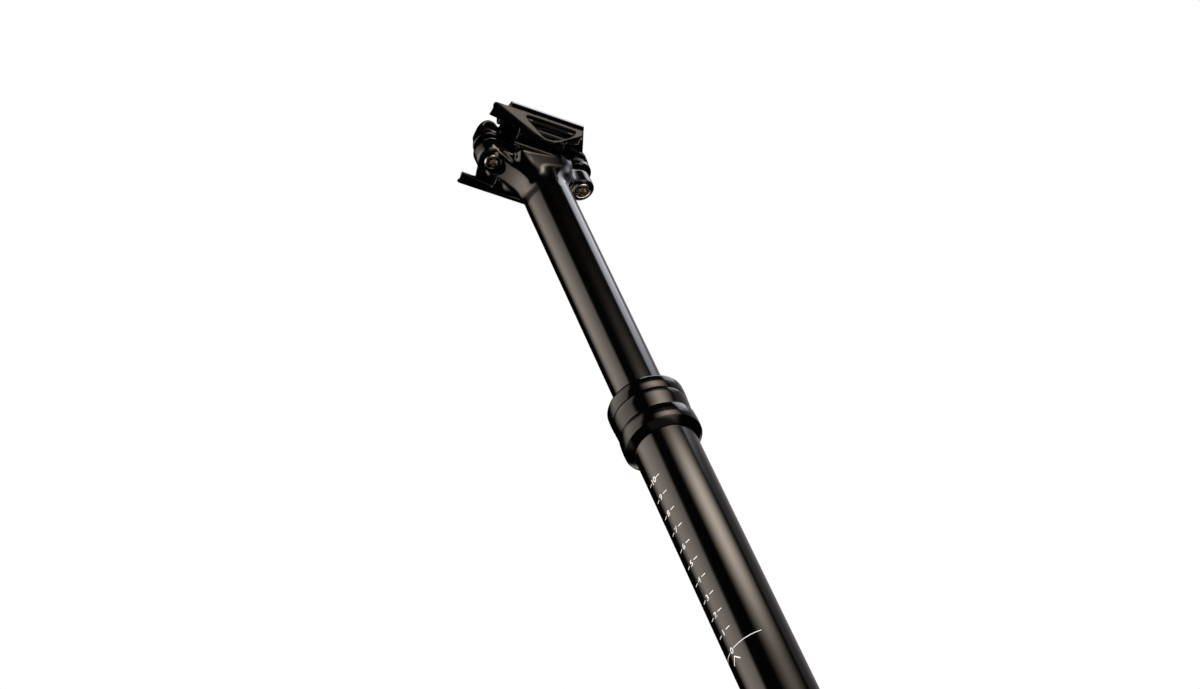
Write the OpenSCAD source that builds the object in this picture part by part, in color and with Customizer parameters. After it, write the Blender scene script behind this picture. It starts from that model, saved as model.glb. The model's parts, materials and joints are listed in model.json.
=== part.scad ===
// Dropper seatpost: a shaft with a two-bolt saddle clamp slides in an outer tube.
// The origin is on the post's axis at the zero mark of the scale. X points forward, Y left, Z up.

/* [Outer tube] */
// Outside diameter of the outer tube, which the bicycle's frame clamps
tube_d = 30.9; // [30.4:0.1:31.6]
// Wall of the outer tube
tube_wall = 1.9; // [1.7:0.05:2.1]
// Height of the collar's underside above the zero mark
collar_z = 122; // [115:1:130]

/* [Shaft] */
// Wall of the two bushings, which sets the shaft's diameter inside the outer tube
bushing_wall = 1.05; // [0.95:0.05:1.15]
// Wall of the sliding shaft
shaft_wall = 2; // [1.8:0.1:2.2]
// Drop of the saddle from the highest to the lowest place
travel = 125; // [100:1:150]
// Length of shaft below the collar's underside at the highest place
overlap = 60.7; // [60:0.1:70]
// Shaft that still shows between cap and head at the lowest place
low_stack = 17; // [15:0.5:25]
// Length of the bushing at the shaft's lower end
lower_bushing_h = 20; // [15:1:24]
// Length of the bushing at the outer tube's upper end
upper_bushing_h = 20; // [15:1:22]

/* [Keys] */
// Number of keys that stop the shaft from turning
key_count = 3; // [2:1:4]
// Width of a key
key_w = 3; // [2.5:0.1:3.5]
// Length of a key
key_h = 20; // [15:1:24]
// Depth of the key's pocket in the shaft
key_pocket = 0.8; // [0.6:0.1:0.9]
// Depth of the keyway in the outer tube
keyway_depth = 0.9; // [0.7:0.1:1]

/* [Collar] */
// Flare of the collar's base beyond the waist
base_flare = 1.4; // [1:0.1:2]
// Height of the collar's base
base_h = 11.2; // [10:0.1:13]
// Depth of the waist between base and collar
waist_depth = 0.9; // [0.6:0.1:1.2]
// Thickness of the collar and its cap beyond the outer tube
collar_wall = 3.75; // [3.4:0.05:4.2]
// Height of the collar
collar_h = 10; // [9:0.1:12]
// Height of the cap above the dark line
cap_h = 8; // [7:0.1:10]
// Dark line between the collar and the cap
cap_line = 0.4; // [0.3:0.1:0.8]

/* [Cartridge] */
// Space between the shaft's bore and the cartridge's cylinder
cylinder_space = 1.5; // [1.3:0.1:1.7]
// Wall of the cartridge's cylinder
cylinder_wall = 1.5; // [1.2:0.1:1.8]
// Hollow rod's radius for each millimetre of the cylinder's, which sets the floating piston's travel
rod_ratio = 0.5333; // [0.5:0.01:0.56]
// Diameter of the valve pin inside the rod
valve_pin_d = 3; // [2.6:0.1:3.2]
// Height of the piston
piston_h = 10; // [8:0.5:12]
// Height of the gland at the cylinder's lower end
gland_h = 12; // [10:0.5:14]
// Space between the gland and the piston at the highest place
top_out_gap = 2; // [1:0.5:4]
// Height of the floating piston
float_h = 8; // [6:0.5:10]
// Oil left between the pistons at the lowest place
oil_left = 10; // [5:1:20]

/* [Release] */
// Height of the base plug inside the tube
plug_h = 20; // [18:1:24]
// Thickness of the rubber buffer on the base plug
buffer_h = 6; // [5:0.5:8]
// Distance of the lever's pivot from the post's axis
pivot_x = 4.5; // [4.2:0.1:5]
// Drop of the lever's pivot below the tube's end
pivot_drop = 10; // [9.5:0.1:11]
// Distance of the cable seat from the pivot
cable_arm = 6.3; // [6:0.1:6.6]
// Swing of the lever in degrees
lever_swing = 25; // [20:1:28]
// Diameter of the cable's housing
housing_d = 5; // [4:0.1:5.2]

/* [Head and clamp] */
// Height of the saddle rails above the shaft's neck
rail_height = 38.6; // [38:0.1:39.5]
// Fall of the rails toward the front in degrees
rail_tilt = 19; // [17:0.5:20]
// Diameter of a saddle rail
rail_d = 7; // [6.8:0.1:7.2]
// Distance between the saddle rails
rail_span = 44; // [43.6:0.1:45]
// Distance between the two bolts
bolt_span = 47; // [46:0.1:49]
// Forward lean of the bolts in degrees
bolt_lean = 8; // [6:0.5:10]
// Diameter of the bolts
bolt_d = 5; // [4.8:0.1:5.4]
// Diameter of the bolts' heads
bolt_head_d = 8.6; // [8.4:0.1:9]
// Height of the bolts' heads
bolt_head_h = 4.5; // [4:0.1:5]
// Distance from a bolt head's face to the middle of its nut
bolt_reach = 20; // [19.5:0.1:21]
// Diameter of the barrel nuts
nut_d = 9; // [8.6:0.1:9.6]
// Length of the barrel nuts
nut_w = 10; // [9:0.5:11]
// Thickness of the clamp around a barrel nut
lobe_wall = 2.6; // [2.4:0.1:3]
// Gap between the two halves of the clamp beside a rail
rail_gap = 4; // [3.6:0.1:4.6]
// Width of the clamp's side jaws
jaw_w = 8.2; // [8:0.1:9]
// Height of the clamp's tipping axis above the rails
rock_height = 4.4; // [4:0.1:5]
// Radius of the curved seat under the clamp
seat_r = 19; // [18.6:0.1:19.4]

/* [Hidden] */
$fn = 96;
// Smallest overlap that lets a cut pass through a face
cut = 1;
// Running clearance of a shaft in a bushing, on the radius
run = 0.04;
// Clearance between parts that move past each other
gap = 0.3;
// Clearance of a key in its keyway, and of the valve pin in the rod
key_gap = 0.1;
// Clearance of a bolt in the head and in its nut, which lets the clamp tip
bolt_gap = 0.6;

// Radii that several parts share
tube_r = tube_d / 2;
bore_r = tube_r - tube_wall;
shaft_r = bore_r - bushing_wall;
shaft_bore_r = shaft_r - shaft_wall;
cylinder_r = shaft_bore_r - cylinder_space;
cylinder_bore_r = cylinder_r - cylinder_wall;
rod_r = cylinder_bore_r * rod_ratio;
pin_r = valve_pin_d / 2;
pin_hole_r = pin_r + key_gap;
neck_r = tube_r - 0.3;
flange_r = shaft_r + 0.6;
spigot_r = tube_r + 1.3;
seal_r = tube_r - 0.5;
lip_r = shaft_r + 1.5;
plug_flange_r = tube_r - 0.25;
collar_r = tube_r + collar_wall;
waist_r = collar_r - waist_depth;
base_r = waist_r + base_flare;

// Grooves of the cartridge's seals
groove_h = 2.5;
groove_depth = 1.3;

// Heights of the collar, from the underside upward
tube_inside_collar = 16;
tube_top = collar_z + tube_inside_collar;
underside_rise = 4;
waist_z = collar_z + base_h;
collar_top = waist_z + collar_h;
cap_low = collar_top + cap_line;
cap_top = cap_low + cap_h;
cap_shoulder = cap_top - 2.6;
flange_h = 1.5;
seal_low = tube_top + flange_h;
wiper_low = seal_low + 4;
lip_rise = 0.6;
bushing_low = tube_top - upper_bushing_h;

// Heights of the base, the shaft and the cartridge at the highest place
shaft_low = collar_z - overlap;
buffer_top = shaft_low - travel - gap;
plug_top = buffer_top - buffer_h;
tube_low = plug_top - plug_h;
neck_z = cap_top + travel + low_stack;
shaft_bore_top = neck_z - 2;
bushing_rise = 5;
bushing_seat = shaft_low + bushing_rise;
keyway_stop = 5;
keyway_top = bushing_low - keyway_stop;
key_top = keyway_top - gap;
key_r = bore_r + keyway_depth - key_gap;
cylinder_low = shaft_low + 2;
gland_groove = cylinder_low + 4;
gland_top = cylinder_low + gland_h;
piston_low = gland_top + top_out_gap;
piston_groove = piston_low + 3;
piston_top = piston_low + piston_h;
float_low = piston_top + travel + oil_left;
float_groove = float_low + 2.5;
cap_spigot_h = 6;
lock_h = 7;
cartridge_cap_h = 8;
cylinder_top = shaft_bore_top - cartridge_cap_h;
rod_seat = 14;
rod_nut_flats = 2 * rod_r + 5;
buffer_hole_r = rod_nut_flats / 2 + 2.5;
buffer_gap = 0.4;
rod_nut_h = buffer_h - 1.5;
rod_low = plug_top - rod_seat;
valve_head_h = 1.5;

// Release lever, with the pivot as its centre
pivot_z = tube_low - pivot_drop;
nose_arm = pivot_x / cos(lever_swing / 2);
nose_r = 1.8;
nose_z = pivot_z - nose_arm * sin(lever_swing / 2);
lever_w = 5.6;
cable_seat_x = pivot_x + cable_arm * cos(lever_swing / 2);
cable_seat_z = pivot_z + cable_arm * sin(lever_swing / 2);
cable_seat_r = 2.2;
cable_end_r = 3;
pivot_r = 1.5;
hub_r = pivot_r + 1.2;
arm_h = 2;
cheek_w = 3;
cheek_in = lever_w / 2 + gap;
flange_low = tube_low - 3;
foot_top = pivot_z - cable_arm * sin(lever_swing / 2) - cable_end_r - 2;
foot_h = 5.5;
foot_low = foot_top - foot_h;
fork_back = pivot_x - 4;
fork_low = pivot_z - 4;
stop_h = 4;
cable_r = 0.9;

// Head and clamp
rail_z = neck_z + rail_height;
rock_z = rail_z + rock_height;
rail_r = rail_d / 2;
bolt_r = bolt_d / 2;
bolt_x = bolt_span / 2;
socket_flats = 4;
socket_h = 3;
rear_face_drop = 7.6;
front_face_drop = 22.8;
rear_face_z = rail_z - rear_face_drop;
front_face_z = rail_z - front_face_drop;
washer_h = 1.2;
web_low = bolt_head_h + washer_h;
counterbore_r = bolt_head_d / 2 + 1.35;
ear_top = web_low + 4.3;
rear_fillet = 20;
front_fillet = 8;
rear_ear_drop = 9.1;
front_ear_drop = 23.6;
rear_ear_low = rail_z - rear_ear_drop;
front_ear_low = rail_z - front_ear_drop;
rear_ear_r = counterbore_r + 2.6;
front_ear_r = counterbore_r + 1.2;
ear_neck = 13;
block_w = 24;
block_drop = 24.6;
block_low = rail_z - block_drop;
block_front = shaft_r + 4;
block_rear = shaft_r + 3.5;
block_rise = 9;
block_top = block_low + 19;
pad_w = 29;
pad_low = rock_z - seat_r - 3;
pad_top = pad_low + 8;
pad_rise = 3.5;
pad_long = 11;
pad_end = 4;
cradle_r = seat_r - gap;
nut_r = nut_d / 2;
lobe_r = nut_r + lobe_wall;
lobe_slot = 1.2;
boss_r = lobe_r + 0.4;
clamp_swing = 5;
bolt_end = bolt_reach + lobe_r + 1;
jaw_edge = 5.5;
jaw_out = rail_span / 2 + jaw_edge;
wing_rear = -30;
wing_front = 19.4;
wing_bottom = [4, -4.6];
wing_bottom_r = 5.9;
wing_end_h = 2;
wing_slope = 45;
pocket_rear = -12.2;
pocket_front = 14.9;
pocket_rim = 0.7;
pocket_roof = 16;
pocket_bottom = [3.2, -4.5];
pocket_r = 4.4;
pocket_depth = jaw_w - 0.7;
bar_rear = -20;
bar_front = 19.5;
bar_h = 3.4;
crown_half = 13;
crown_h = 6;
crown_front = 2.4;
spine_drop = 1;
cradle_rear = -13;
cradle_front = 12;
cradle_web_h = 7;

// Place of a barrel nut in the clamp's own frame: side is -1 at the rear and 1 at the front
function face_z(side) = side < 0 ? rear_face_z : front_face_z;
function nut_x(side) = side * bolt_x + bolt_reach * sin(bolt_lean);
function nut_z(side) = face_z(side) + bolt_reach * cos(bolt_lean);
function nut_u(side) = nut_x(side) * cos(rail_tilt) - (nut_z(side) - rail_z) * sin(rail_tilt);
function nut_v(side) = nut_x(side) * sin(rail_tilt) + (nut_z(side) - rail_z) * cos(rail_tilt);

// Angle at which a line from a point touches a circle: turn is 1 or -1
function touch(point, centre, r, turn) =
    let (d = point - centre)
    atan2(d[1], d[0]) + turn * acos(r / norm(d));

// Outline of a wing or its pocket: a straight top edge, two ends, two flanks and a round bottom
function wing_outline(rear, front, top, end_h, bottom, r) =
    let (a0 = touch([rear, top - end_h], bottom, r, 1))
    let (a1 = touch([front, top - end_h], bottom, r, -1) + 360)
    concat([[front, top - end_h], [front, top], [rear, top], [rear, top - end_h]],
        [for (i = [0:12]) bottom + r * [cos(a0 + (a1 - a0) * i / 12), sin(a0 + (a1 - a0) * i / 12)]]);

module ring(r_in, r_out, low, high) {
    translate([0, 0, low])
        difference() {
            cylinder(r = r_out, h = high - low);
            translate([0, 0, -cut]) cylinder(r = r_in, h = high - low + 2 * cut);
        }
}

module hole(r, low, high) {
    translate([0, 0, low]) cylinder(r = r, h = high - low);
}

module crosswise(r, w) {
    rotate([90, 0, 0]) cylinder(r = r, h = w, center = true);
}

// Extrudes an outline drawn in X and Z to the width w about the middle plane
module slab(w) {
    rotate([90, 0, 0]) linear_extrude(height = w, center = true) children();
}

module around_keys() {
    for (i = [0:key_count - 1]) rotate([0, 0, 360 * i / key_count]) children();
}

module at_clamp() {
    translate([0, 0, rail_z]) rotate([0, rail_tilt, 0]) children();
}

module at_bolt(side) {
    translate([side * bolt_x, 0, face_z(side)]) rotate([0, bolt_lean, 0]) children();
}

module at_both_bolts() {
    for (side = [-1, 1]) at_bolt(side) children();
}

module at_nut(side) {
    at_bolt(side) translate([0, 0, bolt_reach]) children();
}

// Outer tube, turned down inside the collar, with keyways that end below the upper bushing
module outer_tube() {
    keyway_w = key_w + 2 * key_gap;
    color([0.06, 0.06, 0.06])
        difference() {
            union() {
                ring(bore_r, tube_r, tube_low, collar_z);
                ring(bore_r, neck_r, collar_z - cut, tube_top);
            }
            around_keys()
                translate([0, -keyway_w / 2, plug_top])
                    cube([bore_r + keyway_depth, keyway_w, keyway_top - plug_top]);
        }
}

module collar_base() {
    color([0.05, 0.05, 0.05])
        rotate_extrude()
            polygon([
                [neck_r, collar_z], [tube_r, collar_z], [base_r - 0.4, collar_z + underside_rise - 0.3],
                [base_r, collar_z + underside_rise], [waist_r + 0.2, waist_z - 0.6],
                [waist_r - 0.4, waist_z], [neck_r, waist_z]
            ]);
}

module collar() {
    color([0.06, 0.06, 0.06])
        rotate_extrude()
            polygon([
                [neck_r, waist_z], [waist_r, waist_z], [collar_r, waist_z + 4], [collar_r, collar_top - 0.3],
                [collar_r - 0.3, collar_top], [spigot_r, collar_top], [spigot_r, seal_low],
                [flange_r, seal_low], [flange_r, tube_top], [neck_r, tube_top]
            ]);
}

module collar_cap() {
    color([0.06, 0.06, 0.06])
        rotate_extrude()
            polygon([
                [seal_r, seal_low], [spigot_r, seal_low], [spigot_r, cap_low], [collar_r - 0.3, cap_low],
                [collar_r, cap_low + 0.3], [collar_r, cap_shoulder - 0.4], [collar_r - 0.4, cap_shoulder],
                [collar_r - 0.8, cap_top - 0.6], [collar_r - 1.4, cap_top], [lip_r + gap, cap_top],
                [lip_r + gap, cap_shoulder], [seal_r, cap_shoulder]
            ]);
}

// Wiper whose lip stands a little above the cap
module wiper_seal() {
    color([0.03, 0.03, 0.03])
        rotate_extrude()
            polygon([
                [shaft_r + run, wiper_low], [seal_r, wiper_low], [seal_r, cap_shoulder],
                [lip_r, cap_shoulder], [lip_r, cap_top],
                [shaft_r + run + 0.4, cap_top + lip_rise], [shaft_r + run, cap_top + lip_rise]
            ]);
}

module shaft_seal() {
    color([0.15, 0.13, 0.1]) ring(shaft_r + run, seal_r, seal_low, wiper_low);
}

module upper_bushing() {
    color([0.55, 0.45, 0.2]) ring(shaft_r + run, bore_r, bushing_low, tube_top);
}

// Plug that closes the tube, with the fork of the lever and the stop of the cable's housing
module base_plug() {
    color([0.12, 0.12, 0.12])
        difference() {
            union() {
                hole(bore_r, tube_low, plug_top);
                hole(plug_flange_r, flange_low, tube_low);
                intersection() {
                    hole(plug_flange_r, foot_low, flange_low + cut);
                    union() {
                        for (side = [-1, 1])
                            translate([fork_back, side * (cheek_in + cheek_w / 2) - cheek_w / 2, foot_low])
                                cube([tube_d, cheek_w, flange_low + cut - foot_low]);
                        translate([cable_seat_x - housing_d, -cheek_in - cheek_w, foot_low])
                            cube([tube_d, 2 * (cheek_in + cheek_w), foot_h]);
                    }
                }
            }
            hole(rod_r, rod_low, plug_top + cut);
            hole(pin_hole_r, foot_low - cut, plug_top);
            translate([pivot_x, 0, pivot_z]) crosswise(pivot_r, tube_d);
            translate([cable_seat_x, 0, 0]) hole(housing_d / 2, foot_low - cut, foot_low + stop_h);
            translate([cable_seat_x, 0, 0]) hole(cable_r, foot_low, foot_top + cut);
            translate([fork_back - cut, -tube_r, foot_low - cut])
                cube([cable_seat_x - housing_d - fork_back + cut, tube_d, fork_low - foot_low + cut]);
        }
}

module bottom_buffer() {
    color([0.2, 0.2, 0.2]) ring(buffer_hole_r, bore_r - buffer_gap, plug_top, buffer_top);
}

module rod_nut() {
    color([0.75, 0.75, 0.75])
        difference() {
            translate([0, 0, plug_top]) cylinder(d = rod_nut_flats / cos(30), h = rod_nut_h, $fn = 6);
            hole(rod_r, plug_top - cut, buffer_top);
        }
}

module cartridge_rod() {
    color([0.82, 0.82, 0.84]) ring(pin_hole_r, rod_r, rod_low, piston_low);
}

// Groove round a piston, and the seal that fills it
module seal_groove(low) {
    ring(cylinder_bore_r - groove_depth, cylinder_bore_r + cut, low, low + groove_h);
}

module bore_seal(low) {
    ring(cylinder_bore_r - groove_depth, cylinder_bore_r - run, low, low + groove_h);
}

// Piston with the valve's seat and four ways for the oil
module piston() {
    color([0.7, 0.6, 0.35])
        difference() {
            hole(cylinder_bore_r - run, piston_low, piston_top);
            hole(pin_hole_r, piston_low - cut, piston_top + cut);
            seal_groove(piston_groove);
            for (i = [0:3])
                rotate([0, 0, 90 * i])
                    translate([cylinder_bore_r * 0.5, 0, 0]) hole(0.7, piston_low - cut, piston_top + cut);
        }
}

module piston_seal() {
    color([0.1, 0.1, 0.1]) bore_seal(piston_groove);
}

module lever_pivot_pin() {
    color([0.75, 0.75, 0.75])
        translate([pivot_x, 0, pivot_z]) crosswise(pivot_r, 2 * (cheek_in + cheek_w));
}

// Lever: its nose lifts the valve pin when the cable pulls the seat at the other end down
module release_lever() {
    color([0.3, 0.3, 0.32])
        difference() {
            slab(lever_w)
                union() {
                    translate([pivot_x, pivot_z]) circle(r = hub_r);
                    translate([0, nose_z]) circle(r = nose_r);
                    translate([cable_seat_x, cable_seat_z]) circle(r = cable_end_r);
                    polygon([
                        [0, nose_z - nose_r], [pivot_x, pivot_z - hub_r],
                        [cable_seat_x, cable_seat_z - arm_h], [cable_seat_x, cable_seat_z + arm_h],
                        [pivot_x, pivot_z + hub_r - 0.5], [0, nose_z]
                    ]);
                }
            translate([pivot_x, 0, pivot_z]) crosswise(pivot_r + run, tube_d);
            translate([cable_seat_x, 0, cable_seat_z]) crosswise(cable_seat_r, tube_d);
            translate([cable_seat_x - cable_r, -cable_r, cable_seat_z - 2 * cable_end_r])
                cube([2 * cable_r + cable_end_r, 2 * cable_r, 2 * cable_end_r]);
        }
}

// Pin from the lever up through the rod, with the valve's head above the piston
module valve_pin() {
    color([0.82, 0.82, 0.84])
        union() {
            hole(pin_r, nose_z + nose_r + key_gap, piston_top + key_gap);
            hole(2 * pin_r, piston_top + key_gap, piston_top + key_gap + valve_head_h);
        }
}

// Ear that carries a bolt: a slab with a round end, a narrower neck and a hollow curve underneath
module ear(side, low, fillet, end_r) {
    reach = bolt_x + end_r + 2;
    top = face_z(side) + ear_top + reach * sin(bolt_lean);
    intersection() {
        slab(2 * end_r)
            difference() {
                translate([side < 0 ? -reach : 0, low - fillet]) square([reach, top - low + fillet]);
                translate([side * (shaft_r + fillet), low - fillet]) circle(r = fillet);
                translate([side < 0 ? -reach - shaft_r - fillet : shaft_r + fillet, low - fillet])
                    square([reach, fillet]);
            }
        at_bolt(side)
            translate([0, 0, -reach])
                union() {
                    cylinder(r = end_r, h = reach + ear_top);
                    translate([side < 0 ? 0 : -reach, -ear_neck / 2, 0])
                        cube([reach, ear_neck, reach + ear_top]);
                }
    }
}

// Shaft and forged head in one piece
module shaft_head() {
    key_low = key_top - key_h;
    color([0.06, 0.06, 0.06])
        difference() {
            union() {
                hole(shaft_r, shaft_low, pad_low + pad_rise);
                slab(block_w)
                    polygon([
                        [shaft_r - 1, block_low - 4], [-shaft_r / 2, block_low],
                        [-block_rear, block_low + block_rise], [-block_rear, block_top],
                        [block_front, block_top], [block_front, block_low + block_rise]
                    ]);
                slab(pad_w)
                    polygon([
                        [-pad_long - pad_end, pad_low + pad_rise], [-pad_long, pad_low],
                        [pad_long - pad_end, pad_low], [pad_long, pad_low + pad_rise],
                        [pad_long, pad_top], [-pad_long - pad_end, pad_top]
                    ]);
                ear(-1, rear_ear_low, rear_fillet, rear_ear_r);
                ear(1, front_ear_low, front_fillet, front_ear_r);
            }
            hole(shaft_bore_r, shaft_low - cut, shaft_bore_top);
            around_keys()
                translate([shaft_r - key_pocket, -key_w / 2, key_low]) cube([shaft_r, key_w, key_h]);
            translate([0, 0, rock_z]) crosswise(seat_r, 4 * seat_r);
            for (side = [-1, 1])
                at_nut(side) crosswise(lobe_r + gap + bolt_x * sin(clamp_swing), 4 * seat_r);
            at_both_bolts() {
                hole(bolt_r + bolt_gap, -cut, bolt_reach);
                hole(counterbore_r, -bolt_x, web_low);
            }
        }
}

module anti_rotation_keys() {
    color([0.75, 0.6, 0.3])
        around_keys()
            translate([shaft_r - key_pocket, -key_w / 2, key_top - key_h])
                cube([key_r - shaft_r + key_pocket, key_w, key_h]);
}

module lower_bushing() {
    color([0.55, 0.45, 0.2]) ring(shaft_r, bore_r - run, bushing_seat, bushing_seat + lower_bushing_h);
}

module cartridge_cylinder() {
    color([0.6, 0.6, 0.62]) ring(cylinder_bore_r, cylinder_r, cylinder_low, cylinder_top);
}

// Gland that guides the rod, with a groove for its seal
module cartridge_gland() {
    color([0.5, 0.5, 0.52])
        difference() {
            hole(cylinder_bore_r, cylinder_low, gland_top);
            hole(rod_r + run, cylinder_low - cut, gland_top + cut);
            hole(rod_r + groove_depth, gland_groove, gland_groove + groove_h);
        }
}

module rod_seal() {
    color([0.1, 0.1, 0.1]) ring(rod_r + run, rod_r + groove_depth, gland_groove, gland_groove + groove_h);
}

module cartridge_cap() {
    color([0.5, 0.5, 0.52])
        union() {
            hole(cylinder_bore_r, cylinder_top - cap_spigot_h, cylinder_top);
            hole(shaft_bore_r, cylinder_top, shaft_bore_top);
        }
}

module lock_ring() {
    color([0.3, 0.3, 0.3]) ring(cylinder_r, shaft_bore_r, cylinder_low, cylinder_low + lock_h);
}

module floating_piston() {
    color([0.7, 0.6, 0.35])
        difference() {
            hole(cylinder_bore_r - run, float_low, float_low + float_h);
            seal_groove(float_groove);
        }
}

module floating_piston_seal() {
    color([0.1, 0.1, 0.1]) bore_seal(float_groove);
}

module clamp_bolts() {
    color([0.4, 0.4, 0.42])
        at_both_bolts()
            difference() {
                union() {
                    hole(bolt_head_d / 2, 0, bolt_head_h);
                    hole(bolt_r, bolt_head_h, bolt_end);
                }
                translate([0, 0, -cut]) cylinder(d = socket_flats / cos(30), h = socket_h + cut, $fn = 6);
            }
}

module bolt_washers() {
    color([0.6, 0.6, 0.6])
        at_both_bolts() ring(bolt_r + 0.2, counterbore_r - 0.4, bolt_head_h, web_low);
}

// Cut for the two rails
module rails() {
    for (side = [-1, 1])
        translate([0, side * rail_span / 2, 0])
            rotate([0, 90, 0]) cylinder(r = rail_r, h = 4 * rail_span, center = true);
}

// Places its children on a wing's outer face, which leans in below the top edge
module on_wing_face(side) {
    translate([0, side * jaw_out, -rail_gap / 2])
        rotate([-side * wing_slope, 0, 0]) translate([0, 0, rail_gap / 2]) children();
}

// One wing of the lower cradle, with a pocket in its outer face whose roof falls away from the rail
module wing(side) {
    top = -rail_gap / 2;
    rim = top - pocket_rim;
    difference() {
        translate([0, side * (jaw_out - jaw_w / 2), 0])
            slab(jaw_w)
                polygon(wing_outline(wing_rear, wing_front, top, wing_end_h, wing_bottom, wing_bottom_r));
        on_wing_face(side)
            translate([-rail_span, side < 0 ? -jaw_w : 0, -rail_span])
                cube([2 * rail_span, jaw_w, 2 * rail_span]);
        intersection() {
            translate([0, side * jaw_out, 0])
                slab(2 * pocket_depth)
                    polygon(wing_outline(pocket_rear, pocket_front, top, 0, pocket_bottom, pocket_r));
            translate([0, side * jaw_out, rim])
                rotate([side * pocket_roof, 0, 0])
                    translate([-rail_span, -rail_span, -rail_span])
                        cube([2 * rail_span, 2 * rail_span, rail_span]);
        }
    }
}

// Lower half of the clamp, which rocks in the head's curved seat
module lower_cradle() {
    top = -rail_gap / 2;
    long = cradle_front - cradle_rear;
    web = jaw_out - jaw_w + cut;
    color([0.07, 0.07, 0.07])
        difference() {
            union() {
                intersection() {
                    translate([0, 0, rock_z]) crosswise(cradle_r, 2 * web);
                    at_clamp()
                        union() {
                            translate([cradle_rear, -block_w / 2, -seat_r])
                                cube([long, block_w, seat_r + top]);
                            translate([cradle_rear, -web, top - cradle_web_h])
                                cube([long, 2 * web, cradle_web_h]);
                        }
                }
                at_clamp()
                    for (side = [-1, 1]) wing(side);
            }
            at_clamp() rails();
        }
}

// Upper half of the clamp seen from above: two straight sides, and ends that run out to the lobes
module clamp_plan() {
    tip = nut_w / 2 - 1;
    polygon([
        [bar_rear, jaw_out], [bar_front, jaw_out], [nut_u(1) + crown_front, tip],
        [nut_u(1) + crown_front, -tip], [bar_front, -jaw_out], [bar_rear, -jaw_out],
        [nut_u(-1) - 1, -tip], [nut_u(-1) - 1, tip]
    ]);
}

// Upper half of the clamp: a plate over both rails, a higher crown and a lobe round each nut
module upper_clamp() {
    low = rail_gap / 2;
    color([0.06, 0.06, 0.06])
        difference() {
            union() {
                at_clamp()
                    difference() {
                        union() {
                            translate([0, 0, low]) linear_extrude(height = bar_h) clamp_plan();
                            translate([0, 0, low])
                                linear_extrude(height = crown_h)
                                    intersection() {
                                        clamp_plan();
                                        square([4 * rail_span, 2 * crown_half], center = true);
                                    }
                            slab(nut_w)
                                translate([nut_u(-1), low])
                                    square([nut_u(1) - nut_u(-1), nut_v(-1) + lobe_r - spine_drop - low]);
                        }
                        rails();
                    }
                for (side = [-1, 1])
                    intersection() {
                        at_nut(side) crosswise(lobe_r, 4 * boss_r);
                        at_bolt(side) hole(boss_r, 0, 2 * bolt_reach);
                    }
            }
            for (side = [-1, 1]) {
                at_nut(side) crosswise(nut_r + run, 2 * nut_w);
                at_bolt(side) hole(bolt_r + lobe_slot, 0, 2 * bolt_reach);
            }
        }
}

module barrel_nut(side) {
    color([0.35, 0.35, 0.36])
        difference() {
            at_nut(side) crosswise(nut_r, nut_w);
            at_bolt(side) hole(bolt_r + bolt_gap, 0, 2 * bolt_reach);
        }
}

module rear_nut() {
    barrel_nut(-1);
}

module front_nut() {
    barrel_nut(1);
}

outer_tube();
collar_base();
collar();
collar_cap();
wiper_seal();
shaft_seal();
upper_bushing();
base_plug();
bottom_buffer();
rod_nut();
cartridge_rod();
piston();
piston_seal();
lever_pivot_pin();
release_lever();
valve_pin();
shaft_head();
anti_rotation_keys();
lower_bushing();
cartridge_cylinder();
cartridge_gland();
rod_seal();
cartridge_cap();
lock_ring();
floating_piston();
floating_piston_seal();
clamp_bolts();
bolt_washers();
lower_cradle();
upper_clamp();
rear_nut();
front_nut();
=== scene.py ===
# %% [markdown] # A dropper seatpost, dressed around its packed CAD frame The post has an outer tube
# that a bicycle's frame clamps, a shaft that slides in it, and a head with a two-bolt saddle clamp. Z
# is up along the post and X is forward. Sizes of the post are written in millimetres and become
# Blender's metres by MM, and sizes of the studio are in metres.

# %% Load the frame
import json
from math import atan2, cos, degrees, hypot, pi, radians, sin

import bmesh
import bpy
from mathutils import Matrix, Vector


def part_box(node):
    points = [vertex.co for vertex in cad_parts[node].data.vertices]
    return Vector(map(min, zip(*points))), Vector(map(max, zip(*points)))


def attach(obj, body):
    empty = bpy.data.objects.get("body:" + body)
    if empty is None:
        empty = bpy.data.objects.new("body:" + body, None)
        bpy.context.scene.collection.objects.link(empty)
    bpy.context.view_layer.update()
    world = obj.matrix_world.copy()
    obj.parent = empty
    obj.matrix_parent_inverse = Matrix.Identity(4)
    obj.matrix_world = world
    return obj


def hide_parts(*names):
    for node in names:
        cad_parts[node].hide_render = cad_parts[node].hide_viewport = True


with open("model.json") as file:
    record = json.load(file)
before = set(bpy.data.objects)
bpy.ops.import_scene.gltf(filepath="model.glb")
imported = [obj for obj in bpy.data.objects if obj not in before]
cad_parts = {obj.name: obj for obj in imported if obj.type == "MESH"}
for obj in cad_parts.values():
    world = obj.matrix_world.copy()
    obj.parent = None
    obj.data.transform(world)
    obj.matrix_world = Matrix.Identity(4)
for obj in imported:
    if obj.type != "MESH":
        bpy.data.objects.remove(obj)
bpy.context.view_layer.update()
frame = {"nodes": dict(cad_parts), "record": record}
MM = 0.001

# %% [markdown]
# The picture was taken from behind, from the right and from below, with a long lens. The camera's
# place and turn come from the marks of the printed scale, which are 10 mm apart, and from the
# tubes' edges. The three vectors are the picture's right, down and forward directions.

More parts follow.
